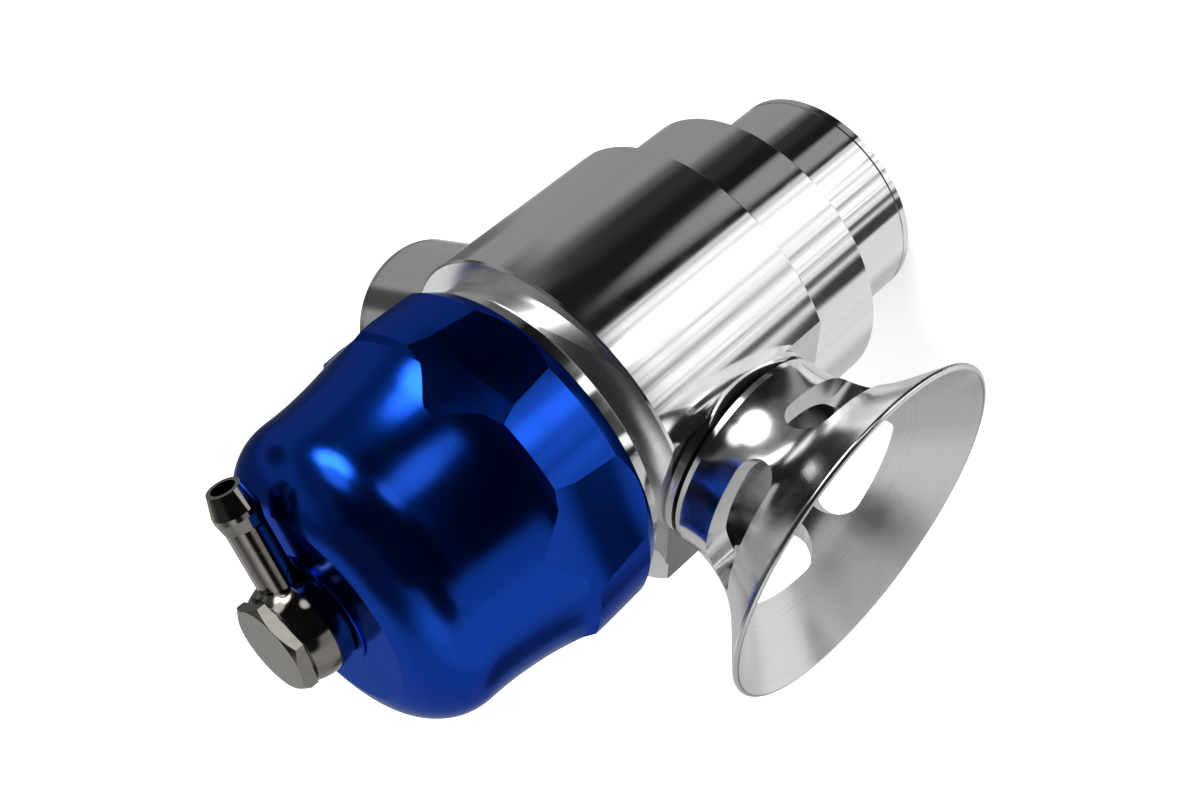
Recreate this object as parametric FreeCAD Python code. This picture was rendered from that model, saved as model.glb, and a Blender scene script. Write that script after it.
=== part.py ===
import FreeCAD, Part
import math
import os

# A dual-port blow off valve that stands on its inlet tail. Millimetres.
# +Z runs along the valve's axis from the inlet tail to the adjusting cap, +X along the trumpet.
# The origin is the centre of the inlet tail's end face.

V = FreeCAD.Vector

# Running gaps and seats
running_gap = 0.05
assembly_gap = 0.03
ring_gap = 0.02
end_gap = 0.5
edge_break = 0.35

# Outside of the body, from the inlet end upwards
tail_radius = 19.0
tail_length = 17.54
step_radius = 25.4
step_length = 15.4
barrel_radius = 29.12
barrel_length = 34.06
cove_height = 3.58
cove_sag = 0.45
neck_radius = 25.84
neck_length = 7.62
thread_radius = 23.6
thread_length = 11.8

# Thicker flank of the barrel beside the trumpet
flank_radius = 16.0
flank_offset = 15.7
flank_azimuth = -38.0
flank_drop = 0.6

# Flat shelf beside the return tail, where the cove's foot is a circle shifted towards the flank
shelf_foot_radius = 29.3
shelf_foot_shift = 4.1
shelf_head_gap = 0.03

# Bores of the body
piston_bore_radius = 20.0
inlet_bore_radius = 15.5
seat_rise = 4.06
port_rise = 17.62
flat_distance = 25.04

# Inlet tail
inlet_wall = 3.2
inlet_spigot_radius = 17.97
inlet_spigot_length = 12.0
inlet_ring_section = 1.9
bead_width = 1.3
bead_line_width = 0.35
bead_line_depth = 0.25
bead_round = 0.55

# Recirculation tail
recirc_azimuth = 210.0
recirc_reach = 53.3
recirc_radius = 15.1
recirc_wall = 2.2
recirc_spigot_radius = 13.2
recirc_bore_radius = 11.2
recirc_taper_start = 3.0
recirc_taper_length = 4.0
recirc_ring_section = 1.6

# Trumpet: an outline is a list of (radius, distance from the shoulder)
trumpet_azimuth = 0.0
trumpet_boss_radius = 16.7
trumpet_boss_height = 0.66
trumpet_line_gap = 0.7
trumpet_spigot_radius = 14.4
trumpet_ring_section = 1.7
trumpet_rim_round = 0.42
trumpet_edge = 0.15
trumpet_outline = [
    (16.75, 0.9),
    (16.95, 4.9),
    (17.9, 8.3),
    (19.8, 12.4),
    (22.7, 16.0),
    (25.3, 18.4),
    (27.6, 20.4),
    (29.55, 22.1),
]
trumpet_bore_outline = [
    (12.6, 5.6),
    (13.4, 8.1),
    (15.2, 10.6),
    (18.7, 13.8),
    (21.7, 16.6),
    (25.0, 19.6),
    (28.75, 22.85),
]
slot_count = 4
slot_width = 7.1
slot_arc = 69.0
slot_start = 6.7
slot_mean_radius = 19.8
slot_first_angle = 32.0

# Port spigots stop this far outside the piston's bore
spigot_inset = 1.5

# Piston and its seal
piston_length = 30.4
piston_wall = 2.8
piston_floor = 4.6
piston_lift = 14.0
seat_gap = 0.1
seal_radius = 18.2
seal_thickness = 2.5
pilot_radius = 8.0
plate_radius = 14.0
plate_thickness = 2.0
screw_radius = 3.0
screw_head_radius = 5.6
screw_head_height = 1.9
screw_socket_width = 4.0
screw_socket_depth = 1.6
guide_ring_height = 1.6
guide_ring_depth = 1.5
guide_ring_spacing = 3.2
guide_ring_inset = 1.2

# Spring between the piston and the spring seat
spring_coil_radius = 13.4
spring_wire_radius = 1.3
spring_turns = 9
spring_end_grind = 0.7

# Spring seat with its hollow stop post
seat_disc_radius = 21.2
seat_disc_thickness = 2.6
seat_lip_radius = 11.7
seat_lip_height = 2.0
post_radius = 6.5
post_bore_radius = 2.5
stop_gap = 0.3
thrust_washer_thickness = 0.9
thrust_washer_inner_radius = 7.0
thrust_washer_outer_radius = 20.4
thrust_gap = 0.1

# Adjusting cap
cap_gap = 2.57
cap_travel = 1.5
cap_length = 40.85
cap_rear_radius = 27.52
cap_chamfer_radius = 29.04
cap_chamfer_height = 2.55
land_front_radius = 29.58
land_length = 11.2
waist_rear_radius = 28.35
waist_lip = 0.6
waist_middle_radius = 26.85
waist_middle_height = 19.8
waist_radius = 25.9
waist_height = 30.6
shoulder_radius = 23.7
shoulder_height = 36.85
face_radius = 16.8
cap_neck_gap = 0.26
cap_chamber_radius = 21.6
cap_roof_thickness = 7.0
scallop_count = 6
scallop_first_azimuth = 26.6
scallop_floor_radius = 27.85
scallop_straight = 10.6
scallop_front_radius = 26.9
scallop_front_height = 19.8
scallop_hollow_radius = 100.0
boss_radius = 9.3
boss_height = 0.4
boss_edge = 0.15

# Ring that seals the cap on the body's neck
cap_ring_section = 1.5
cap_ring_height = 5.5
cap_ring_groove_width = 1.9

# Vacuum fitting on the cap
bolt_radius = 5.0
bolt_bore_radius = 2.0
bolt_bore_end = 1.6
bolt_cross_radius = 1.1
bolt_tail = 6.0
bolt_head_width = 13.8
bolt_head_height = 2.0
bolt_head_face_radius = 6.85
bolt_head_chamfer = 0.05
bolt_head_azimuth = 74.5
washer_thickness = 0.3
washer_radius = 6.6
fitting_gap = 0.06
eye_radius = 8.3
eye_height = 6.54
eye_centre_rise = 2.9
eye_groove_radius = 6.2
eye_groove_height = 2.4
barb_azimuth = 121.0
barb_reach = 24.5
barb_stem_start = 6.9
barb_stem_radius = 3.0
barb_root_radius = 3.1
barb_radius = 3.5
barb_tip_radius = 2.6
barb_length = 6.2
barb_taper = 3.4
barb_land = 0.8
barb_bore_radius = 1.9

# Heights and distances that follow from the sizes above
step_z = tail_length
barrel_z = step_z + step_length
barrel_top_z = barrel_z + barrel_length
neck_z = barrel_top_z + cove_height
shoulder_z = neck_z + neck_length
neck_top_z = shoulder_z + thread_length
seat_z = barrel_z + seat_rise
port_z = barrel_z + port_rise
inlet_socket_radius = inlet_spigot_radius + assembly_gap
inlet_spigot_z = step_z + inlet_spigot_length
inlet_socket_z = inlet_spigot_z + inlet_ring_section + 2 * ring_gap
seal_z = seat_z + seat_gap
piston_z = seal_z + seal_thickness
piston_top_z = piston_z + piston_length
piston_radius = piston_bore_radius - running_gap
piston_floor_z = piston_z + piston_floor
plate_z = seal_z - plate_thickness
spigot_end = piston_bore_radius + spigot_inset
trumpet_seat = flat_distance + trumpet_boss_height
trumpet_shoulder = trumpet_seat + trumpet_line_gap
trumpet_recess_radius = trumpet_spigot_radius + trumpet_ring_section + 3 * ring_gap
trumpet_recess_floor = trumpet_seat + trumpet_ring_section + 2 * ring_gap
trumpet_bore_radius = trumpet_bore_outline[0][0]
recirc_shoulder = flat_distance + recirc_ring_section + 2 * ring_gap
cap_z = neck_z + cap_gap
face_z = cap_z + cap_length
roof_z = face_z - cap_roof_thickness
boss_z = face_z + boss_height
washer_z = roof_z - thrust_gap - thrust_washer_thickness
seat_disc_z = washer_z - seat_disc_thickness
post_z = piston_floor_z + piston_lift + cap_travel + stop_gap
eye_z = boss_z + washer_thickness + fitting_gap
eye_centre_z = eye_z + eye_centre_rise
upper_washer_z = eye_z + eye_height + fitting_gap
bolt_head_z = upper_washer_z + washer_thickness


# Solids made the way a lathe makes them
def line(start, end):
    return Part.LineSegment(V(start[0], 0, start[1]), V(end[0], 0, end[1])).toShape()


def arc(start, middle, end):
    points = [V(radius, 0, height) for radius, height in (start, middle, end)]
    return Part.Arc(points[0], points[1], points[2]).toShape()


def curve(points, first_tangent=None, last_tangent=None):
    spline = Part.BSplineCurve()
    places = [V(radius, 0, height) for radius, height in points]
    if first_tangent and last_tangent:
        spline.interpolate(
            Points=places,
            InitialTangent=V(first_tangent[0], 0, first_tangent[1]),
            FinalTangent=V(last_tangent[0], 0, last_tangent[1]),
        )
    else:
        spline.interpolate(places)
    return spline.toShape()


def turned_edges(edges, angle=360):
    face = Part.Face(Part.Wire(Part.__sortEdges__(edges)))
    return face.revolve(V(0, 0, 0), V(0, 0, 1), angle)


def turned(corners, angle=360):
    ends = corners[1:] + corners[:1]
    return turned_edges([line(start, end) for start, end in zip(corners, ends)], angle)


def rod(radius, low, high):
    return Part.makeCylinder(radius, high - low, V(0, 0, low))


def tube(inner, outer, low, high):
    return turned([(inner, low), (outer, low), (outer, high), (inner, high)])


def seal_ring(section, inner, centre_height):
    radius = section / 2
    ring = Part.makeTorus(inner + radius, radius)
    ring.translate(V(0, 0, centre_height))
    return ring


def azimuth_vector(azimuth, length=1.0):
    angle = math.radians(azimuth)
    return V(length * math.cos(angle), length * math.sin(angle), 0)


# A port piece is made along +Z, its height being the distance from the valve's axis
def on_port(shape, azimuth, height=None):
    outward = azimuth_vector(azimuth)
    upward = V(0, 0, 1)
    sideways = upward.cross(outward)
    level = port_z if height is None else height
    turn = FreeCAD.Rotation(sideways, upward, outward, "ZYX")
    placed = shape.copy()
    placed.Placement = FreeCAD.Placement(V(0, 0, level), turn).multiply(placed.Placement)
    return placed


def port_flat(azimuth):
    reach = 2 * barrel_radius
    block = Part.makeBox(reach, reach, neck_z - barrel_z, V(flat_distance, -reach / 2, barrel_z))
    block.rotate(V(0, 0, 0), V(0, 0, 1), azimuth)
    return block


def port_bore(azimuth, bore_radius, spigot_radius):
    passage = rod(bore_radius, piston_bore_radius / 4, spigot_end)
    socket = rod(spigot_radius + assembly_gap, spigot_end - assembly_gap, 2 * barrel_radius)
    return on_port(passage.fuse(socket), azimuth)


# What the shelf takes away: all that lies outside a cone from the shifted foot up to the neck
def shelf_cut():
    foot_centre = azimuth_vector(flank_azimuth, shelf_foot_shift) + V(0, 0, barrel_top_z)
    foot = Part.Wire(Part.makeCircle(shelf_foot_radius, foot_centre))
    head = Part.Wire(Part.makeCircle(neck_radius + shelf_head_gap, V(0, 0, neck_z)))
    kept = Part.makeLoft([foot, head], True, True)
    return rod(2 * barrel_radius, barrel_top_z, neck_z).cut(kept)


# Body: barrel, step, neck and thread in one piece
def make_body():
    cove_start = (barrel_radius - edge_break, barrel_top_z)
    cove_end = (neck_radius, neck_z)
    slope = math.atan2(cove_end[1] - cove_start[1], cove_end[0] - cove_start[0])
    cove_middle = (
        (cove_start[0] + cove_end[0]) / 2 - cove_sag * math.sin(slope),
        (cove_start[1] + cove_end[1]) / 2 + cove_sag * math.cos(slope),
    )
    lower = [
        (0, step_z),
        (step_radius - edge_break, step_z),
        (step_radius, step_z + edge_break),
        (step_radius, barrel_z),
        (barrel_radius - edge_break, barrel_z),
        (barrel_radius, barrel_z + edge_break),
        (barrel_radius, barrel_top_z - edge_break),
        cove_start,
    ]
    upper = [
        cove_end,
        (neck_radius, shoulder_z - edge_break),
        (neck_radius - edge_break, shoulder_z),
        (thread_radius, shoulder_z),
        (thread_radius, neck_top_z - 2 * edge_break),
        (thread_radius - 2 * edge_break, neck_top_z),
        (0, neck_top_z),
        (0, step_z),
    ]
    edges = [line(a, b) for a, b in zip(lower, lower[1:])]
    edges.append(arc(cove_start, cove_middle, cove_end))
    edges += [line(a, b) for a, b in zip(upper, upper[1:])]
    core = turned_edges(edges).cut(shelf_cut())

    flank_top_z = barrel_top_z - flank_drop
    flank = turned([
        (0, barrel_z),
        (flank_radius - edge_break, barrel_z),
        (flank_radius, barrel_z + edge_break),
        (flank_radius, flank_top_z - edge_break),
        (flank_radius - edge_break, flank_top_z),
        (0, flank_top_z),
    ])
    flank.translate(azimuth_vector(flank_azimuth, flank_offset))
    solid = core.fuse(flank)

    trumpet_boss = on_port(rod(trumpet_boss_radius, 0, trumpet_seat), trumpet_azimuth)
    solid = solid.cut(port_flat(trumpet_azimuth).cut(trumpet_boss))
    solid = solid.cut(port_flat(recirc_azimuth))
    solid = solid.cut(rod(inlet_socket_radius, step_z, inlet_socket_z))
    solid = solid.cut(rod(inlet_bore_radius, inlet_socket_z, seat_z))
    solid = solid.cut(rod(piston_bore_radius, seat_z, neck_top_z))
    solid = solid.cut(port_bore(trumpet_azimuth, trumpet_bore_radius, trumpet_spigot_radius))
    solid = solid.cut(port_bore(recirc_azimuth, recirc_bore_radius, recirc_spigot_radius))

    groove_floor = cap_ring_inner_radius() - ring_gap
    groove_z = neck_z + cap_ring_height
    half = cap_ring_groove_width / 2
    return solid.cut(tube(groove_floor, neck_radius + 1, groove_z - half, groove_z + half))


def cap_ring_inner_radius():
    return neck_radius + cap_neck_gap - running_gap - cap_ring_section


# Hose tails, each with a turned line behind the bead at its end
def bead_line(radius, line_centre):
    half = bead_line_width / 2
    return tube(radius - bead_line_depth, radius + 1, line_centre - half, line_centre + half)


def make_inlet_tail():
    bore = tail_radius - inlet_wall
    edges = [
        line((bore + bead_round, 0), (tail_radius, 0)),
        line((tail_radius, 0), (tail_radius, step_z)),
        line((tail_radius, step_z), (inlet_spigot_radius, step_z)),
        line((inlet_spigot_radius, step_z), (inlet_spigot_radius, inlet_spigot_z)),
        line((inlet_spigot_radius, inlet_spigot_z), (bore, inlet_spigot_z)),
        line((bore, inlet_spigot_z), (bore, bead_round)),
        rounded_corner(bore, 0, bead_round, 1, 1),
    ]
    return turned_edges(edges).cut(bead_line(tail_radius, bead_width))


# Quarter round at a corner; the signs say which way the solid lies from the corner
def rounded_corner(radius, height, size, radial_sign, height_sign):
    centre_radius = radius + radial_sign * size
    centre_height = height + height_sign * size
    middle = size / math.sqrt(2)
    return arc(
        (centre_radius, height),
        (centre_radius - radial_sign * middle, centre_height - height_sign * middle),
        (radius, centre_height),
    )


def make_inlet_ring():
    inner = inlet_spigot_radius - inlet_ring_section - ring_gap
    centre_z = inlet_spigot_z + inlet_ring_section / 2 + ring_gap
    return seal_ring(inlet_ring_section, inner, centre_z)


def make_recirc_tail():
    taper_z = recirc_shoulder + recirc_taper_start
    wide_z = taper_z + recirc_taper_length
    inner = recirc_radius - recirc_wall
    edges = [
        line((recirc_bore_radius, spigot_end), (recirc_spigot_radius, spigot_end)),
        line((recirc_spigot_radius, spigot_end), (recirc_spigot_radius, recirc_shoulder)),
        line((recirc_spigot_radius, recirc_shoulder), (recirc_radius, recirc_shoulder)),
        line((recirc_radius, recirc_shoulder), (recirc_radius, recirc_reach - bead_round)),
        rounded_corner(recirc_radius, recirc_reach, bead_round, -1, -1),
        line((recirc_radius - bead_round, recirc_reach), (inner + bead_round, recirc_reach)),
        rounded_corner(inner, recirc_reach, bead_round, 1, -1),
        line((inner, recirc_reach - bead_round), (inner, wide_z)),
        line((inner, wide_z), (recirc_bore_radius, taper_z)),
        line((recirc_bore_radius, taper_z), (recirc_bore_radius, spigot_end)),
    ]
    tail = turned_edges(edges).cut(bead_line(recirc_radius, recirc_reach - bead_width))
    return on_port(tail, recirc_azimuth)


def make_recirc_ring():
    centre = flat_distance + recirc_ring_section / 2 + ring_gap
    ring = seal_ring(recirc_ring_section, recirc_spigot_radius + ring_gap, centre)
    return on_port(ring, recirc_azimuth)


# Trumpet: a flared horn with four rounded slots round its neck
def trumpet_slot(angle):
    end_radius = slot_width / 2
    low = trumpet_shoulder + slot_start
    reach = trumpet_outline[-1][0]
    half_turn = slot_arc / 2 - math.degrees(math.asin(end_radius / slot_mean_radius))
    band = turned([(0, low), (reach, low), (reach, low + slot_width), (0, low + slot_width)], 2 * half_turn)
    band.rotate(V(0, 0, 0), V(0, 0, 1), angle - half_turn)
    cutter = band
    for side in (-half_turn, half_turn):
        direction = azimuth_vector(angle + side)
        end = Part.makeCylinder(end_radius, reach, V(0, 0, low + end_radius), direction)
        cutter = cutter.fuse(end)
    return cutter


def make_trumpet():
    outer = [(radius, trumpet_shoulder + distance) for radius, distance in trumpet_outline]
    inner = [(radius, trumpet_shoulder + distance) for radius, distance in trumpet_bore_outline]
    edge_start = (outer[0][0] - trumpet_edge, trumpet_shoulder)
    rim_out = outer[-1]
    rim_in = inner[-1]
    rim_lean = (rim_out[0] - outer[-2][0], rim_out[1] - outer[-2][1])
    size = math.hypot(rim_lean[0], rim_lean[1])
    rim_middle = (
        (rim_out[0] + rim_in[0]) / 2 + trumpet_rim_round * rim_lean[0] / size,
        (rim_out[1] + rim_in[1]) / 2 + trumpet_rim_round * rim_lean[1] / size,
    )
    edges = [
        line((trumpet_bore_radius, spigot_end), (trumpet_spigot_radius, spigot_end)),
        line((trumpet_spigot_radius, spigot_end), (trumpet_spigot_radius, trumpet_recess_floor)),
        line((trumpet_spigot_radius, trumpet_recess_floor), (trumpet_recess_radius, trumpet_recess_floor)),
        line((trumpet_recess_radius, trumpet_recess_floor), (trumpet_recess_radius, trumpet_shoulder)),
        line((trumpet_recess_radius, trumpet_shoulder), edge_start),
        line(edge_start, outer[0]),
        curve(outer),
        arc(rim_out, rim_middle, rim_in),
        curve(inner),
        line(inner[0], (trumpet_bore_radius, spigot_end)),
    ]
    horn = turned_edges(edges)
    for index in range(slot_count):
        angle = slot_first_angle + slot_arc / 2 + index * 360 / slot_count
        horn = horn.cut(trumpet_slot(angle))
    return on_port(horn, trumpet_azimuth)


def make_trumpet_ring():
    centre = trumpet_seat + trumpet_ring_section / 2 + ring_gap
    ring = seal_ring(trumpet_ring_section, trumpet_spigot_radius + ring_gap, centre)
    return on_port(ring, trumpet_azimuth)


# Piston, open towards the spring
def make_piston():
    inner = piston_radius - piston_wall
    cup = turned([
        (screw_radius + assembly_gap, seal_z),
        (pilot_radius, seal_z),
        (pilot_radius, piston_z),
        (piston_radius - edge_break, piston_z),
        (piston_radius, piston_z + edge_break),
        (piston_radius, piston_top_z - edge_break),
        (piston_radius - edge_break, piston_top_z),
        (inner, piston_top_z),
        (inner, piston_floor_z),
        (screw_radius + assembly_gap, piston_floor_z),
    ])
    for low in guide_ring_heights():
        cup = cup.cut(tube(piston_radius - guide_ring_depth, piston_radius + 1, low, low + guide_ring_height))
    return cup


def guide_ring_heights():
    top = piston_top_z - guide_ring_inset - guide_ring_height
    return [top, top - guide_ring_spacing]


def make_guide_rings():
    rings = []
    for low in guide_ring_heights():
        inner = piston_radius - guide_ring_depth + assembly_gap
        base = low + assembly_gap
        rings.append(tube(inner, piston_radius, base, base + guide_ring_height - 2 * assembly_gap))
    return Part.makeCompound(rings)


def make_piston_seal():
    return tube(pilot_radius + assembly_gap, seal_radius, seal_z, piston_z)


def make_seal_plate():
    return turned([
        (screw_radius + assembly_gap, plate_z + screw_head_height),
        (screw_head_radius + assembly_gap, plate_z),
        (plate_radius - edge_break, plate_z),
        (plate_radius, plate_z + edge_break),
        (plate_radius, seal_z),
        (screw_radius + assembly_gap, seal_z),
    ])


def hexagon(width, low, height, azimuth):
    corner = width / math.sqrt(3)
    points = [azimuth_vector(azimuth + 30 + 60 * index, corner) for index in range(6)]
    face = Part.Face(Part.makePolygon(points + points[:1]))
    face.translate(V(0, 0, low))
    return face.extrude(V(0, 0, height))


def make_seal_screw():
    screw = turned([
        (0, plate_z),
        (screw_head_radius, plate_z),
        (screw_radius, plate_z + screw_head_height),
        (screw_radius, piston_floor_z - end_gap),
        (0, piston_floor_z - end_gap),
    ])
    return screw.cut(hexagon(screw_socket_width, plate_z, screw_socket_depth, 0))


# Compression spring with ground ends
def make_spring():
    low = piston_floor_z
    high = seat_disc_z
    inset = spring_wire_radius - spring_end_grind
    run = high - low - 2 * inset
    helix = Part.makeHelix(run / spring_turns, run, spring_coil_radius)
    section = Part.Wire(Part.makeCircle(spring_wire_radius, V(spring_coil_radius, 0, 0), V(0, 1, 0)))
    coil = Part.Wire(helix.Edges).makePipeShell([section], True, True)
    coil.translate(V(0, 0, low + inset))
    reach = spring_coil_radius + 2 * spring_wire_radius
    return coil.common(rod(reach, low, high))


# Spring seat: a disc that the cap pushes, with a hollow post that stops the piston
def make_spring_seat():
    top = seat_disc_z + seat_disc_thickness
    return turned([
        (post_bore_radius, post_z),
        (post_radius - edge_break, post_z),
        (post_radius, post_z + edge_break),
        (post_radius, seat_disc_z - seat_lip_height),
        (seat_lip_radius, seat_disc_z - seat_lip_height),
        (seat_lip_radius, seat_disc_z),
        (seat_disc_radius, seat_disc_z),
        (seat_disc_radius, top),
        (post_bore_radius, top),
    ])


def make_thrust_washer():
    high = washer_z + thrust_washer_thickness
    return tube(thrust_washer_inner_radius, thrust_washer_outer_radius, washer_z, high)


# Adjusting cap: turned outside, six scalloped finger grips, stepped inside
def scallop_cutter():
    axis_distance = scallop_floor_radius + scallop_hollow_radius
    straight_z = cap_z + scallop_straight
    front_z = cap_z + scallop_front_height
    front_depth = scallop_floor_radius - scallop_front_radius
    cutter = turned([
        (0, cap_z - 1),
        (scallop_hollow_radius, cap_z - 1),
        (scallop_hollow_radius, straight_z),
        (scallop_hollow_radius + front_depth, front_z),
        (0, front_z),
    ])
    cutter.translate(V(axis_distance, 0, 0))
    width = scallop_floor_radius
    window = Part.makeBox(width, width, front_z, V(width * 0.7, -width / 2, 0))
    return cutter.common(window)


def make_cap():
    rear = [
        (0, cap_z),
        (cap_rear_radius, cap_z),
        (cap_chamfer_radius, cap_z + cap_chamfer_height),
        (land_front_radius, cap_z + cap_chamfer_height + land_length),
        (waist_rear_radius, cap_z + cap_chamfer_height + land_length + waist_lip),
    ]
    waist_start = rear[-1]
    waist_middle = (waist_middle_radius, cap_z + waist_middle_height)
    waist_end = (waist_radius, cap_z + waist_height)
    shoulder = (shoulder_radius, cap_z + shoulder_height)
    face_edge = (face_radius, face_z)
    edges = [line(a, b) for a, b in zip(rear, rear[1:])]
    edges.append(curve([waist_start, waist_middle, waist_end], (-1, 2), (0, 1)))
    edges.append(curve([waist_end, shoulder, face_edge], (0, 1), (-1, 0.2)))
    edges.append(line(face_edge, (0, face_z)))
    edges.append(line((0, face_z), (0, cap_z)))
    solid = turned_edges(edges)

    for index in range(scallop_count):
        cutter = scallop_cutter()
        cutter.rotate(V(0, 0, 0), V(0, 0, 1), scallop_first_azimuth + index * 360 / scallop_count)
        solid = solid.cut(cutter)

    solid = solid.fuse(turned([
        (0, face_z - 1),
        (boss_radius, face_z - 1),
        (boss_radius, boss_z - boss_edge),
        (boss_radius - boss_edge, boss_z),
        (0, boss_z),
    ]))
    solid = solid.removeSplitter()

    socket_top = shoulder_z + cap_travel + end_gap
    thread_top = neck_top_z + cap_travel + end_gap
    solid = solid.cut(rod(neck_radius + cap_neck_gap, cap_z, socket_top))
    solid = solid.cut(rod(thread_radius + running_gap, socket_top, thread_top))
    solid = solid.cut(rod(cap_chamber_radius, thread_top, roof_z))
    return solid.cut(rod(bolt_radius + assembly_gap, roof_z, boss_z))


def make_cap_ring():
    return seal_ring(cap_ring_section, cap_ring_inner_radius(), neck_z + cap_ring_height)


# Vacuum fitting: a ball-shaped eye with a barbed stem, held by a hollow bolt and two washers
def make_barb_fitting():
    ball = Part.makeSphere(eye_radius, V(0, 0, eye_centre_z))
    eye = ball.common(rod(eye_radius, eye_z, eye_z + eye_height))
    barb_start = barb_reach - barb_length
    barb_crest = barb_reach - barb_taper
    stem = turned([
        (0, barb_stem_start),
        (barb_stem_radius, barb_stem_start),
        (barb_stem_radius, barb_start),
        (barb_root_radius, barb_start),
        (barb_radius, barb_crest - barb_land),
        (barb_radius, barb_crest),
        (barb_tip_radius, barb_reach),
        (0, barb_reach),
    ])
    solid = eye.fuse(on_port(stem, barb_azimuth, eye_centre_z))
    solid = solid.cut(on_port(rod(barb_bore_radius, 0, barb_reach), barb_azimuth, eye_centre_z))
    solid = solid.cut(rod(bolt_radius + running_gap, eye_z, eye_z + eye_height))
    groove_z = eye_centre_z - eye_groove_height / 2
    return solid.cut(rod(eye_groove_radius, groove_z, groove_z + eye_groove_height))


def make_fitting_bolt():
    bottom = boss_z - bolt_tail
    head = hexagon(bolt_head_width, bolt_head_z, bolt_head_height, bolt_head_azimuth)
    corner = bolt_head_width / math.sqrt(3)
    head_top = bolt_head_z + bolt_head_height
    drop = bolt_head_chamfer + (corner - bolt_head_face_radius) * math.tan(math.radians(30))
    blank = turned([
        (0, bolt_head_z),
        (corner, bolt_head_z),
        (corner, head_top - drop),
        (bolt_head_face_radius, head_top),
        (0, head_top),
    ])
    solid = head.common(blank).fuse(rod(bolt_radius, bottom, bolt_head_z))
    solid = solid.cut(rod(bolt_bore_radius, bottom, bolt_head_z - bolt_bore_end))
    cross = rod(bolt_cross_radius, -bolt_radius, bolt_radius)
    return solid.cut(on_port(cross, barb_azimuth, eye_centre_z))


def make_fitting_washers():
    inner = bolt_radius + running_gap
    lower = tube(inner, washer_radius, boss_z, boss_z + washer_thickness)
    upper = tube(inner, washer_radius, upper_washer_z, upper_washer_z + washer_thickness)
    return Part.makeCompound([lower, upper])


pieces = {
    "body": make_body,
    "inlet_tail": make_inlet_tail,
    "inlet_seal_ring": make_inlet_ring,
    "recirc_tail": make_recirc_tail,
    "recirc_seal_ring": make_recirc_ring,
    "trumpet": make_trumpet,
    "trumpet_seal_ring": make_trumpet_ring,
    "piston": make_piston,
    "piston_guide_rings": make_guide_rings,
    "piston_seal": make_piston_seal,
    "seal_plate": make_seal_plate,
    "seal_screw": make_seal_screw,
    "spring": make_spring,
    "spring_seat": make_spring_seat,
    "thrust_washer": make_thrust_washer,
    "cap": make_cap,
    "cap_seal_ring": make_cap_ring,
    "barb_fitting": make_barb_fitting,
    "fitting_bolt": make_fitting_bolt,
    "fitting_washers": make_fitting_washers,
}

os.makedirs("parts", exist_ok=True)
for name, make in pieces.items():
    shape = make()
    shape.exportStep("parts/" + name + ".step")
    print(name, "valid", shape.isValid(), "solids", len(shape.Solids), "volume", round(shape.Volume, 1))
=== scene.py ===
# %% [markdown]
# # A polished blow off valve
# The valve is turned from aluminium bar and stands here on its inlet tail. The CAD model already holds its
# shape, so this lesson is about finishes: mirror-polished aluminium, spun aluminium, blue anodising,
# black chrome and rubber. Shiny metal has almost no colour of its own. It shows the room around it,
# so the room is designed as carefully as the materials.

# %% Load the imported model
import math

import bpy
from mathutils import Matrix, Vector


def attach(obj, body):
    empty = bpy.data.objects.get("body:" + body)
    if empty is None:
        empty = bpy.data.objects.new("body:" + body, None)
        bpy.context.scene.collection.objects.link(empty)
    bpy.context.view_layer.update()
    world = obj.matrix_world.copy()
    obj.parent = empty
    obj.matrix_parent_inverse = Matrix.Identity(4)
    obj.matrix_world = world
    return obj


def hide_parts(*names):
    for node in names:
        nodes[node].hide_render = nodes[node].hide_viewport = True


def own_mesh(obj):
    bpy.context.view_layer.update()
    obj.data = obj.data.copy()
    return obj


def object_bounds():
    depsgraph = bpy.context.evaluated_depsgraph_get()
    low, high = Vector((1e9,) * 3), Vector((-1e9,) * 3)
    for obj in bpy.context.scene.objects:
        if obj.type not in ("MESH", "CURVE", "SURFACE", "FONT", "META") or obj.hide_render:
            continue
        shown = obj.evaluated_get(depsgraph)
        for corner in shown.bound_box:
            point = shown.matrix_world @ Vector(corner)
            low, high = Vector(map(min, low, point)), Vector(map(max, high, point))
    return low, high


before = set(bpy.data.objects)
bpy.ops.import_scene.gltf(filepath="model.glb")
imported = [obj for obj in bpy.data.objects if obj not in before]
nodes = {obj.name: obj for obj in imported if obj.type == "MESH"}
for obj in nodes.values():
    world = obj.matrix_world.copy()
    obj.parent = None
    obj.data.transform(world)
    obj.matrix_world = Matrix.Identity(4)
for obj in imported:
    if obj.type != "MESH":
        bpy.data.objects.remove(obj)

cad_low, cad_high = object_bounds()
mm = 0.001
print("CAD nodes:", len(nodes), "box in mm:", [round((b - a) / mm, 1) for a, b in zip(cad_low, cad_high)])


# %% [markdown]
# Colours are written the way a paint chart gives them, as sRGB hex, and one function turns them into
# the linear values that a renderer adds up. A second small function adds one node with its settings
# and its links, so that each material below reads as a short list of what it is made of.

# %% Helpers for colours and nodes
def linear(hex_colour):
    """sRGB hex such as "#aabbcc" to linear red, green, blue, alpha."""
    parts = [int(hex_colour[i:i + 2], 16) / 255 for i in (1, 3, 5)]
    light = [c / 12.92 if c <= 0.04045 else ((c + 0.055) / 1.055) ** 2.4 for c in parts]
    return (*light, 1.0)


def add(tree, kind, settings=None, **links):
    """Adds a node. A link named for a socket takes a socket of another node or a plain value."""
    node = tree.nodes.new(kind)
    for key, value in (settings or {}).items():
        setattr(node, key, value)
    for name, value in links.items():
        key = int(name[1:]) if name[0] == "_" and name[1:].isdigit() else name.replace("_", " ")
        socket = node.inputs[key]
        if isinstance(value, bpy.types.NodeSocket):
            tree.links.new(value, socket)
        else:
            socket.default_value = value
    return node


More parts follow.
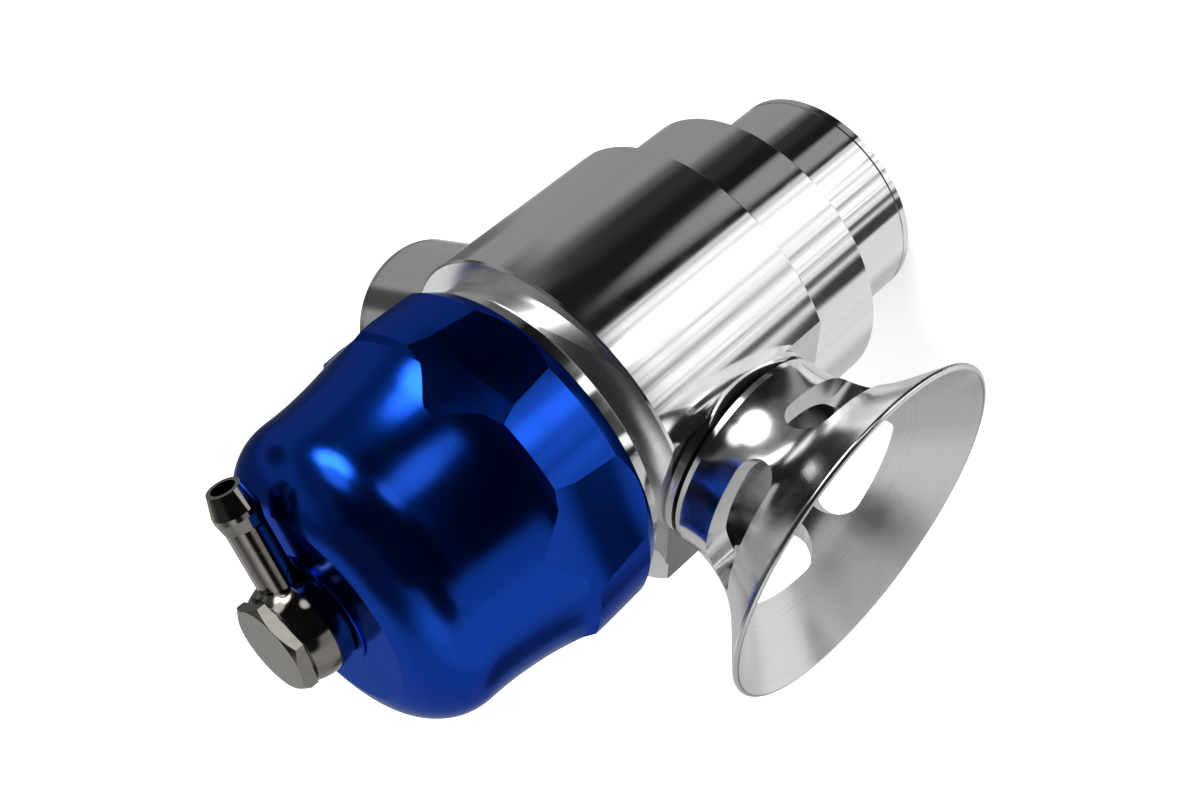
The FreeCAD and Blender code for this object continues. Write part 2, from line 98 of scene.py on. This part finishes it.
def new_material(name):
    """A material with an empty tree, its shader and its output."""
    material = bpy.data.materials.new(name)
    material.use_nodes = True
    tree = material.node_tree
    tree.nodes.clear()
    shader = add(tree, "ShaderNodeBsdfPrincipled")
    add(tree, "ShaderNodeOutputMaterial", Surface=shader.outputs["BSDF"])
    return material, tree, shader


# %% [markdown]
# ## The camera
# The photograph looks down on the valve from beside the trumpet, with the camera rolled so that the
# valve seems to lie on a table. The view is given by the point it aims at, the direction it looks
# from, its distance and its roll, and the lens is the one that matches the photograph's perspective.

# %% Place the camera
aim = Vector((-8.9, -22.2, 45.36)) * mm
view_azimuth = math.radians(61.587)
view_elevation = math.radians(27.645)
view_roll = math.radians(-129.91)
view_distance = 317.86 * mm
sensor_width = 36.0
lens_length = 55.434

backward = Vector((
    math.cos(view_elevation) * math.cos(view_azimuth),
    math.cos(view_elevation) * math.sin(view_azimuth),
    math.sin(view_elevation),
))
level_right = Vector((0, 0, 1)).cross(backward).normalized()
level_up = backward.cross(level_right)
right = level_right * math.cos(view_roll) + level_up * math.sin(view_roll)
up = backward.cross(right)

camera_data = bpy.data.cameras.new("camera")
camera_data.lens = lens_length
camera_data.sensor_width = sensor_width
camera_data.clip_start = 0.01
camera = bpy.data.objects.new("camera", camera_data)
bpy.context.collection.objects.link(camera)
turn = Matrix((right, up, backward)).transposed().to_4x4()
camera.matrix_world = Matrix.Translation(aim + backward * view_distance) @ turn
bpy.context.scene.camera = camera
print("camera at", [round(c / mm, 1) for c in camera.location])


# %% [markdown]
# ## The room
# A photographer of polished metal surrounds it with white cards and black flags. The cylinder then
# shows each of them as a stripe along its length. Real cards could stand round the valve as meshes,
# but they would hide it from other views, so the room is the world instead. Mirror rays see two rings
# of panels: the lower ring is the table with its white cards, the upper ring is the dark room behind
# the camera and the pale wall opposite. The camera itself sees plain white.

# %% Turn a direction into azimuth and elevation
world = bpy.data.worlds.new("white room with panels")
bpy.context.scene.world = world
world.use_nodes = True
sky = world.node_tree
sky.nodes.clear()
direction = add(sky, "ShaderNodeTexCoord").outputs["Generated"]
axes = add(sky, "ShaderNodeSeparateXYZ", Vector=direction).outputs
azimuth = add(sky, "ShaderNodeMath", {"operation": "ARCTAN2"}, _0=axes["Y"], _1=axes["X"]).outputs[0]
elevation = add(sky, "ShaderNodeMath", {"operation": "ARCSINE"}, _0=axes["Z"]).outputs[0]
around = add(sky, "ShaderNodeMapRange", Value=azimuth, From_Min=-math.pi, From_Max=math.pi).outputs[0]


# %% [markdown]
# A ring of panels is a colour ramp over the azimuth. Each entry gives the azimuth in degrees where a
# panel starts, how bright it is, where 1 is white paper, and over how many degrees it fades in.

# %% Set up the two rings of panels
lower_panels = [
    (-180, 0.29, 3), (-138, 0.55, 8), (-60, 0.80, 10), (11, 0.12, 3), (17, 1.2, 3), (81, 0.012, 3),
    (120, 0.03, 8), (136, 0.10, 6), (144, 0.29, 8),
]
upper_panels = [
    (-180, 0.28, 10), (-163, 0.14, 8), (-133, 0.50, 10), (-90, 0.45, 10), (-45, 0.60, 10), (-4, 0.45, 8),
    (19, 0.010, 6), (126, 0.12, 10), (160, 0.28, 10),
]


def panel_ring(panels):
    """A ramp over the azimuth that fades from panel to panel."""
    ramp = add(sky, "ShaderNodeValToRGB", Fac=around)
    stops = ramp.color_ramp.elements
    stops.remove(stops[-1])
    previous = panels[0][1]
    stops[0].position = 0.0
    stops[0].color = (previous, previous, previous, 1)
    for start, level, fade in panels[1:]:
        for offset, value in ((-fade / 2, previous), (fade / 2, level)):
            stop = stops.new((start + offset + 180) / 360)
            stop.color = (value, value, value, 1)
        previous = level
    return ramp.outputs["Color"]


lower_ring = panel_ring(lower_panels)
upper_ring = panel_ring(upper_panels)
print("panels:", len(lower_panels), "below and", len(upper_panels), "above")


# %% [markdown]
# The white cards are not evenly bright. Narrow gaps between them give the barrel its grey streaks, so
# a noise over the azimuth dims the brightest panels, in stripes a few degrees wide.

# %% Streak the white cards and join the rings
streak_width = math.radians(7)
streaks = add(sky, "ShaderNodeTexNoise", {"noise_dimensions": "1D"}, W=azimuth,
              Scale=1 / streak_width, Detail=3.0, Roughness=0.6).outputs[0]
card_light = add(sky, "ShaderNodeMapRange", Value=streaks, From_Min=0.38, From_Max=0.52,
                 To_Min=0.40, To_Max=1.0).outputs[0]
is_card = add(sky, "ShaderNodeMapRange", Value=lower_ring, From_Min=0.8, From_Max=1.1).outputs[0]
lower_light = add(sky, "ShaderNodeMix", {"data_type": "RGBA", "blend_type": "MULTIPLY"},
                  _0=is_card, _6=lower_ring, _7=card_light).outputs[2]
horizon = add(sky, "ShaderNodeMapRange", {"interpolation_type": "SMOOTHSTEP"}, Value=elevation,
              From_Min=math.radians(-29.8), From_Max=math.radians(-27.6)).outputs[0]
walls = add(sky, "ShaderNodeMix", {"data_type": "RGBA"},
            _0=horizon, _6=lower_light, _7=upper_ring).outputs[2]
ceiling = (0.05, 0.05, 0.055, 1)
overhead = add(sky, "ShaderNodeMapRange", {"interpolation_type": "SMOOTHSTEP"}, Value=elevation,
               From_Min=math.radians(52), From_Max=math.radians(72)).outputs[0]
room_light = add(sky, "ShaderNodeMix", {"data_type": "RGBA"},
                 _0=overhead, _6=walls, _7=ceiling).outputs[2]


# %% [markdown]
# Round patches do the rest. The nearer a mirror ray comes to a patch's direction, the more of its
# brightness it meets. The bright ones are softboxes: they give the cap its bright spots, the trumpet's
# neck its white patch and the shelf beside the return tail its pale face. The dark ones are flags:
# they put dark bars on the step and the tails, and keep the cap's far side deep blue. Each entry gives
# the azimuth, elevation and half angle in degrees, and how bright the patch is.

# %% Add the softboxes and the flags that the metal mirrors
softboxes = [
    (129, 5, 13, 6.5), (123, 20, 10, 1.6), (-14, 43, 11, 0.8), (88, -14, 9, 1.5),
    (-125, 29, 9, 0.85), (63, -32, 6, 2.2),
]
flags = [
    (96, -38, 7, 0.30), (0, -37.5, 5.5, 0.05), (-64, -18, 11, 0.15), (178, 17, 9, 0.06),
    (14, 24, 18, 0.01),
]
patch_heart = 0.6
patch_rim = 1.35
for patch_azimuth, patch_elevation, half_angle, level in softboxes + flags:
    upward = math.radians(patch_elevation)
    sideways = math.radians(patch_azimuth)
    reach = math.cos(upward)
    centre = (reach * math.cos(sideways), reach * math.sin(sideways), math.sin(upward))
    nearness = add(sky, "ShaderNodeVectorMath", {"operation": "DOT_PRODUCT"},
                   _0=direction, _1=centre).outputs["Value"]
    patch = add(sky, "ShaderNodeMapRange", {"interpolation_type": "SMOOTHSTEP"}, Value=nearness,
                From_Min=math.cos(math.radians(half_angle * patch_rim)),
                From_Max=math.cos(math.radians(half_angle * patch_heart))).outputs[0]
    room_light = add(sky, "ShaderNodeMix", {"data_type": "RGBA"}, _0=patch, _6=room_light,
                     _7=(level, level, level, 1)).outputs[2]

white = (1, 1, 1, 1)
soft_strength = 0.8
path = add(sky, "ShaderNodeLightPath").outputs
mirror_room = add(sky, "ShaderNodeBackground", Color=room_light, Strength=1.0).outputs[0]
soft_room = add(sky, "ShaderNodeBackground", Color=white, Strength=soft_strength).outputs[0]
white_room = add(sky, "ShaderNodeBackground", Color=white, Strength=1.0).outputs[0]
lit = add(sky, "ShaderNodeMixShader", Fac=path["Is Glossy Ray"], _1=soft_room, _2=mirror_room).outputs[0]
shown = add(sky, "ShaderNodeMixShader", Fac=path["Is Camera Ray"], _1=lit, _2=white_room).outputs[0]
add(sky, "ShaderNodeOutputWorld", Surface=shown)
print("softboxes:", len(softboxes), "flags:", len(flags))


# %% [markdown]
# ## The floor
# A sheet of white paper. A faint glow for camera rays only lifts it to white where it is lit and
# leaves the valve's soft shadow, and mirror rays pass through it to the lower ring of panels.

# %% Lay the pale floor
floor_size = 8.0
floor_mesh = bpy.data.meshes.new("floor")
half = floor_size / 2
floor_corners = [(-half, -half, 0), (half, -half, 0), (half, half, 0), (-half, half, 0)]
floor_mesh.from_pydata(floor_corners, [], [(0, 1, 2, 3)])
floor = bpy.data.objects.new("floor", floor_mesh)
bpy.context.collection.objects.link(floor)
floor.visible_glossy = False

floor_paint, tree, shader = new_material("white floor")
shader.inputs["Base Color"].default_value = linear("#f0f0f0")
shader.inputs["Roughness"].default_value = 1.0
shader.inputs["Specular IOR Level"].default_value = 0.0
shader.inputs["Emission Color"].default_value = white
seen_glow = 0.45
seen = add(tree, "ShaderNodeLightPath").outputs["Is Camera Ray"]
glow = add(tree, "ShaderNodeMath", {"operation": "MULTIPLY"}, _0=seen, _1=seen_glow).outputs[0]
tree.links.new(glow, shader.inputs["Emission Strength"])
floor_mesh.materials.append(floor_paint)


# %% [markdown]
# ## The lamps
# Two square lamps light the parts that are not mirrors, such as rubber and white plastic, and give a
# soft shadow. They are hidden from mirror rays, where the room's own softboxes do the work.

# %% Hang the lamps
def softbox(name, place, target, size, watts):
    lamp = bpy.data.lights.new(name, "AREA")
    lamp.shape = "RECTANGLE"
    lamp.size, lamp.size_y = size
    lamp.energy = watts
    holder = bpy.data.objects.new(name, lamp)
    bpy.context.collection.objects.link(holder)
    look = (Vector(target) - Vector(place)).to_track_quat("-Z", "Y")
    holder.matrix_world = Matrix.Translation(place) @ look.to_matrix().to_4x4()
    holder.visible_glossy = False
    return holder


middle = (cad_low + cad_high) / 2
softbox("key softbox", (0.1, 0.5, 0.9), middle, (0.35, 0.35), 6.0)
softbox("side softbox", (-0.6, 0.5, 0.5), middle, (0.3, 0.5), 3.0)


# %% [markdown]
# ## Patterns that machining leaves
# A lathe leaves rings round its axis, and a polishing belt leaves lines along the bar. Both could be
# image textures, but a noise in the part's own millimetres needs no image and has no seam. The first
# helper gives coordinates that change only with the distance from an axis and along it, so a noise in
# them makes rings. The second stretches the coordinates along a direction, so a noise makes lines.

# %% Helpers for rings and lines
per_mm = 1 / mm
port_height = 50.56 * mm
return_tail_turn = math.radians(210)


def ring_coordinates(tree, along, centre=(0, 0, 0)):
    """Distance from an axis and distance along it, in millimetres."""
    place = add(tree, "ShaderNodeTexCoord").outputs["Object"]
    moved = add(tree, "ShaderNodeVectorMath", {"operation": "SUBTRACT"}, _0=place, _1=centre).outputs[0]
    parts = add(tree, "ShaderNodeSeparateXYZ", Vector=moved).outputs
    across = [parts[name] for name in "XYZ" if name != along]
    flat = add(tree, "ShaderNodeCombineXYZ", X=across[0], Y=across[1]).outputs[0]
    radius = add(tree, "ShaderNodeVectorMath", {"operation": "LENGTH"}, _0=flat).outputs["Value"]
    pair = add(tree, "ShaderNodeCombineXYZ", X=radius, Y=parts[along]).outputs[0]
    return add(tree, "ShaderNodeVectorMath", {"operation": "SCALE"}, _0=pair, Scale=per_mm).outputs[0]


def line_coordinates(tree, along, line_length, turn=0.0):
    """Millimetres, with the lines' own direction shrunk so that the noise stretches along it."""
    place = add(tree, "ShaderNodeTexCoord").outputs["Object"]
    turned = add(tree, "ShaderNodeMapping", {"vector_type": "TEXTURE"}, Vector=place,
                 Rotation=(0, 0, turn)).outputs[0]
    shrink = [per_mm / line_length if name == along else per_mm for name in "XYZ"]
    return add(tree, "ShaderNodeVectorMath", {"operation": "MULTIPLY"}, _0=turned, _1=shrink).outputs[0]


def smudges(tree, size_mm, low, high):
    """Soft patches, such as handling leaves, between two values."""
    place = add(tree, "ShaderNodeTexCoord").outputs["Object"]
    cloud = add(tree, "ShaderNodeTexNoise", Vector=place, Scale=per_mm / size_mm, Detail=3.0).outputs[0]
    return add(tree, "ShaderNodeMapRange", Value=cloud, From_Min=0.35, From_Max=0.65,
               To_Min=low, To_Max=high).outputs[0]


def grooves(tree, shader, height, depth_mm):
    """Bump of a given depth from a height that runs from 0 to 1."""
    bump = add(tree, "ShaderNodeBump", Height=height, Strength=1.0, Distance=depth_mm * mm)
    tree.links.new(bump.outputs[0], shader.inputs["Normal"])


def metal_base(shader, colour, roughness):
    shader.inputs["Base Color"].default_value = linear(colour)
    shader.inputs["Metallic"].default_value = 1.0
    shader.inputs["Roughness"].default_value = roughness


# %% [markdown]
# ## Polished aluminium
# The body and its two hose tails are aluminium, polished along the bar with a fine belt and then a
# mop. Nearly a mirror, but lines about 1.4 mm apart stay in it: they tilt the surface a little and
# break the edge of every reflection into streaks. Smudges make some patches less glossy. The belt
# doesn't reach the cove and the shelf under the cap, which stay satin, as the lathe left them.

# %% Polish the body and the tails
cove_low_mm = 66.95
cove_high_mm = 70.65
cove_roughness = 0.26


def satin_cove(tree, polished):
    """The polished roughness, but satin between the cove's lower and upper height."""
    place = add(tree, "ShaderNodeTexCoord").outputs["Object"]
    height = add(tree, "ShaderNodeSeparateXYZ", Vector=place).outputs["Z"]
    above = add(tree, "ShaderNodeMath", {"operation": "GREATER_THAN"},
                _0=height, _1=cove_low_mm * mm).outputs[0]
    below = add(tree, "ShaderNodeMath", {"operation": "LESS_THAN"},
                _0=height, _1=cove_high_mm * mm).outputs[0]
    inside = add(tree, "ShaderNodeMath", {"operation": "MULTIPLY"}, _0=above, _1=below).outputs[0]
    return add(tree, "ShaderNodeMix", {"data_type": "FLOAT"},
               _0=inside, _2=polished, _3=cove_roughness).outputs[0]


def belt_polished(name, along, turn=0.0, has_cove=False):
    material, tree, shader = new_material(name)
    metal_base(shader, "#e9eaea", 0.07)
    belt_lines = add(tree, "ShaderNodeTexNoise", Vector=line_coordinates(tree, along, 60.0, turn),
                     Scale=0.7, Detail=4.0, Roughness=0.6).outputs[0]
    tint = add(tree, "ShaderNodeMix", {"data_type": "RGBA"}, _0=belt_lines, _6=linear("#e2e3e3"),
               _7=linear("#f6f6f6")).outputs[2]
    tree.links.new(tint, shader.inputs["Base Color"])
    gloss = smudges(tree, 9.0, 0.045, 0.11)
    if has_cove:
        gloss = satin_cove(tree, gloss)
    tree.links.new(gloss, shader.inputs["Roughness"])
    grooves(tree, shader, belt_lines, 0.006)
    return material


polished_body = belt_polished("belt-polished aluminium with a satin cove", "Z", has_cove=True)
polished_aluminium = belt_polished("belt-polished aluminium", "Z")
polished_tail = belt_polished("belt-polished aluminium along the return tail", "X", return_tail_turn)


# %% [markdown]
# ## Spun and turned aluminium
# The trumpet is turned from bar: its outside is polished, its mouth is left satin, which spreads the
# room's light into an even pale grey. The side that faces out of the mouth is found from the surface's
# own direction in the part's coordinates. Rings 0.3 mm apart run round its axis.

# %% Finish the trumpet
trumpet_metal, tree, shader = new_material("turned aluminium with a satin mouth")
metal_base(shader, "#e3e4e3", 0.2)
trumpet_rings = ring_coordinates(tree, "X", (0, 0, port_height))
turning = add(tree, "ShaderNodeTexNoise", Vector=trumpet_rings, Scale=3.0, Detail=3.0).outputs[0]
outward = add(tree, "ShaderNodeTexCoord").outputs["Normal"]
facing = add(tree, "ShaderNodeSeparateXYZ", Vector=outward).outputs["X"]
mouth_side = add(tree, "ShaderNodeMapRange", Value=facing, From_Min=0.25, From_Max=0.5).outputs[0]
polish = smudges(tree, 7.0, 0.10, 0.17)
satin = smudges(tree, 5.0, 0.20, 0.26)
trumpet_gloss = add(tree, "ShaderNodeMix", {"data_type": "FLOAT"},
                    _0=mouth_side, _2=polish, _3=satin).outputs[0]
tree.links.new(trumpet_gloss, shader.inputs["Roughness"])
trumpet_tint = add(tree, "ShaderNodeMix", {"data_type": "RGBA"}, _0=turning, _6=linear("#dfe0de"),
                   _7=linear("#f4f5f4")).outputs[2]
tree.links.new(trumpet_tint, shader.inputs["Base Color"])
grooves(tree, shader, turning, 0.0008)

# %% Finish the turned parts inside
turned_aluminium, tree, shader = new_material("turned aluminium")
metal_base(shader, "#b9babb", 0.28)
inner_rings = ring_coordinates(tree, "Z")
inner_turning = add(tree, "ShaderNodeTexNoise", Vector=inner_rings, Scale=4.0, Detail=3.0).outputs[0]
inner_tint = add(tree, "ShaderNodeMix", {"data_type": "RGBA"}, _0=inner_turning, _6=linear("#96989a"),
                 _7=linear("#d6d7d8")).outputs[2]
tree.links.new(inner_tint, shader.inputs["Base Color"])
tree.links.new(smudges(tree, 6.0, 0.22, 0.34), shader.inputs["Roughness"])
grooves(tree, shader, inner_turning, 0.006)


# %% [markdown]
# ## Blue anodising
# The cap is bright-dipped, dyed blue and sealed. The dye sits in a clear glassy skin on satin metal,
# so the colour comes from the metal and a second, colourless gloss from the skin: a coat on a coloured
# metal. The specular tint is the colour at a glancing angle, where light crosses the dye twice and
# stays blue. Highlights turn towards cyan, shadows stay deep navy. Very fine turning rings show on the
# lands, and the grain of the etch is about 0.2 mm.

# %% Anodise the cap
blue_anodising, tree, shader = new_material("bright-dip blue anodised aluminium")
metal_base(shader, "#0745bd", 0.18)
shader.inputs["Coat Weight"].default_value = 0.15
shader.inputs["Coat Roughness"].default_value = 0.12
shader.inputs["Specular Tint"].default_value = linear("#a3b5da")
cap_rings = ring_coordinates(tree, "Z")
cap_turning = add(tree, "ShaderNodeTexNoise", Vector=cap_rings, Scale=3.5, Detail=3.0).outputs[0]
etch_place = add(tree, "ShaderNodeTexCoord").outputs["Object"]
etch_grain = add(tree, "ShaderNodeTexNoise", Vector=etch_place, Scale=per_mm / 0.18, Detail=2.0).outputs[0]
dye = add(tree, "ShaderNodeMix", {"data_type": "RGBA"}, _0=cap_turning, _6=linear("#0640b6"),
          _7=linear("#0a4eca")).outputs[2]
tree.links.new(dye, shader.inputs["Base Color"])
tree.links.new(smudges(tree, 11.0, 0.16, 0.21), shader.inputs["Roughness"])
etch_share = 0.4
surface_height = add(tree, "ShaderNodeMix", {"data_type": "FLOAT"},
                     _0=etch_share, _2=cap_turning, _3=etch_grain).outputs[0]
grooves(tree, shader, surface_height, 0.0012)


# %% [markdown]
# ## Black chrome
# The banjo fitting and its bolt are brass with a dark chrome plating: a smoky mirror. It is so smooth
# that only faint smudges and a slow waviness from polishing show.

# %% Plate the fitting
black_chrome, tree, shader = new_material("black chrome plating")
metal_base(shader, "#84817d", 0.07)
wave_place = add(tree, "ShaderNodeTexCoord").outputs["Object"]
waviness = add(tree, "ShaderNodeTexNoise", Vector=wave_place, Scale=per_mm / 1.6, Detail=2.0).outputs[0]
smoke = add(tree, "ShaderNodeMix", {"data_type": "RGBA"}, _0=waviness, _6=linear("#837f79"),
            _7=linear("#9d9992")).outputs[2]
tree.links.new(smoke, shader.inputs["Base Color"])
tree.links.new(smudges(tree, 2.5, 0.05, 0.12), shader.inputs["Roughness"])
grooves(tree, shader, waviness, 0.005)


# %% [markdown]
# ## Rubber, white plastic and spring steel
# The seals are moulded nitrile rubber: nearly black, with a fine matt grain. The washer and the guide
# rings are cut from white PTFE, which looks waxy. The spring is drawn wire, so its grain is finer than
# a millimetre.

# %% Mould the seals and draw the wire
nitrile_rubber, tree, shader = new_material("moulded nitrile rubber")
shader.inputs["Base Color"].default_value = linear("#0c0c0c")
shader.inputs["Specular IOR Level"].default_value = 0.4
tree.links.new(smudges(tree, 1.5, 0.38, 0.6), shader.inputs["Roughness"])
rubber_place = add(tree, "ShaderNodeTexCoord").outputs["Object"]
rubber_grain = add(tree, "ShaderNodeTexNoise", Vector=rubber_place, Scale=per_mm / 0.2,
                   Detail=2.0).outputs[0]
grooves(tree, shader, rubber_grain, 0.01)

white_ptfe, tree, shader = new_material("white PTFE")
ptfe_place = add(tree, "ShaderNodeTexCoord").outputs["Object"]
wax = add(tree, "ShaderNodeTexNoise", Vector=ptfe_place, Scale=per_mm / 3.0, Detail=2.0).outputs[0]
wax_tint = add(tree, "ShaderNodeMix", {"data_type": "RGBA"}, _0=wax, _6=linear("#d9d6cc"),
               _7=linear("#efede6")).outputs[2]
tree.links.new(wax_tint, shader.inputs["Base Color"])
tree.links.new(smudges(tree, 4.0, 0.4, 0.55), shader.inputs["Roughness"])

zinc_steel, tree, shader = new_material("zinc plated steel")
metal_base(shader, "#b4b7bb", 0.3)
zinc_place = add(tree, "ShaderNodeTexCoord").outputs["Object"]
spangle = add(tree, "ShaderNodeTexNoise", Vector=zinc_place, Scale=per_mm / 0.5, Detail=3.0).outputs[0]
zinc_tint = add(tree, "ShaderNodeMix", {"data_type": "RGBA"}, _0=spangle, _6=linear("#9fa2a6"),
                _7=linear("#c9ccd0")).outputs[2]
tree.links.new(zinc_tint, shader.inputs["Base Color"])
tree.links.new(smudges(tree, 2.0, 0.22, 0.38), shader.inputs["Roughness"])


# %% [markdown]
# ## Each piece takes its finish
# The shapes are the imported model's own, so each node's mesh only takes its material.

# %% Assign the finishes
finish_of_node = {
    "body": polished_body,
    "inlet_tail": polished_aluminium,
    "recirc_tail": polished_tail,
    "trumpet": trumpet_metal,
    "cap": blue_anodising,
    "barb_fitting": black_chrome,
    "fitting_bolt": black_chrome,
    "fitting_washers": turned_aluminium,
    "inlet_seal_ring": nitrile_rubber,
    "recirc_seal_ring": nitrile_rubber,
    "trumpet_seal_ring": nitrile_rubber,
    "cap_seal_ring": nitrile_rubber,
    "piston_seal": nitrile_rubber,
    "piston": turned_aluminium,
    "piston_guide_rings": white_ptfe,
    "thrust_washer": white_ptfe,
    "seal_plate": turned_aluminium,
    "spring_seat": turned_aluminium,
    "seal_screw": zinc_steel,
    "spring": zinc_steel,
}
for name, finish in finish_of_node.items():
    mesh = nodes[name].data
    mesh.materials.clear()
    mesh.materials.append(finish)
    print(name, "takes", finish.name, "with", len(mesh.polygons), "faces")


# %% [markdown]
# ## The spring
# The piston pushes the spring together against the seat above it. A copy of the spring stands for the
# packed one and hangs from the spring carrier, and the packed spring is hidden.

# %% Hang a copy of the spring on its carrier
coil = bpy.data.objects.new("coil_spring", nodes["spring"].data.copy())
bpy.context.collection.objects.link(coil)
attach(coil, "spring_carrier")
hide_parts("spring")
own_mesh(coil)


# %% Render settings that belong to the picture
bpy.context.scene.view_settings.view_transform = "Standard"
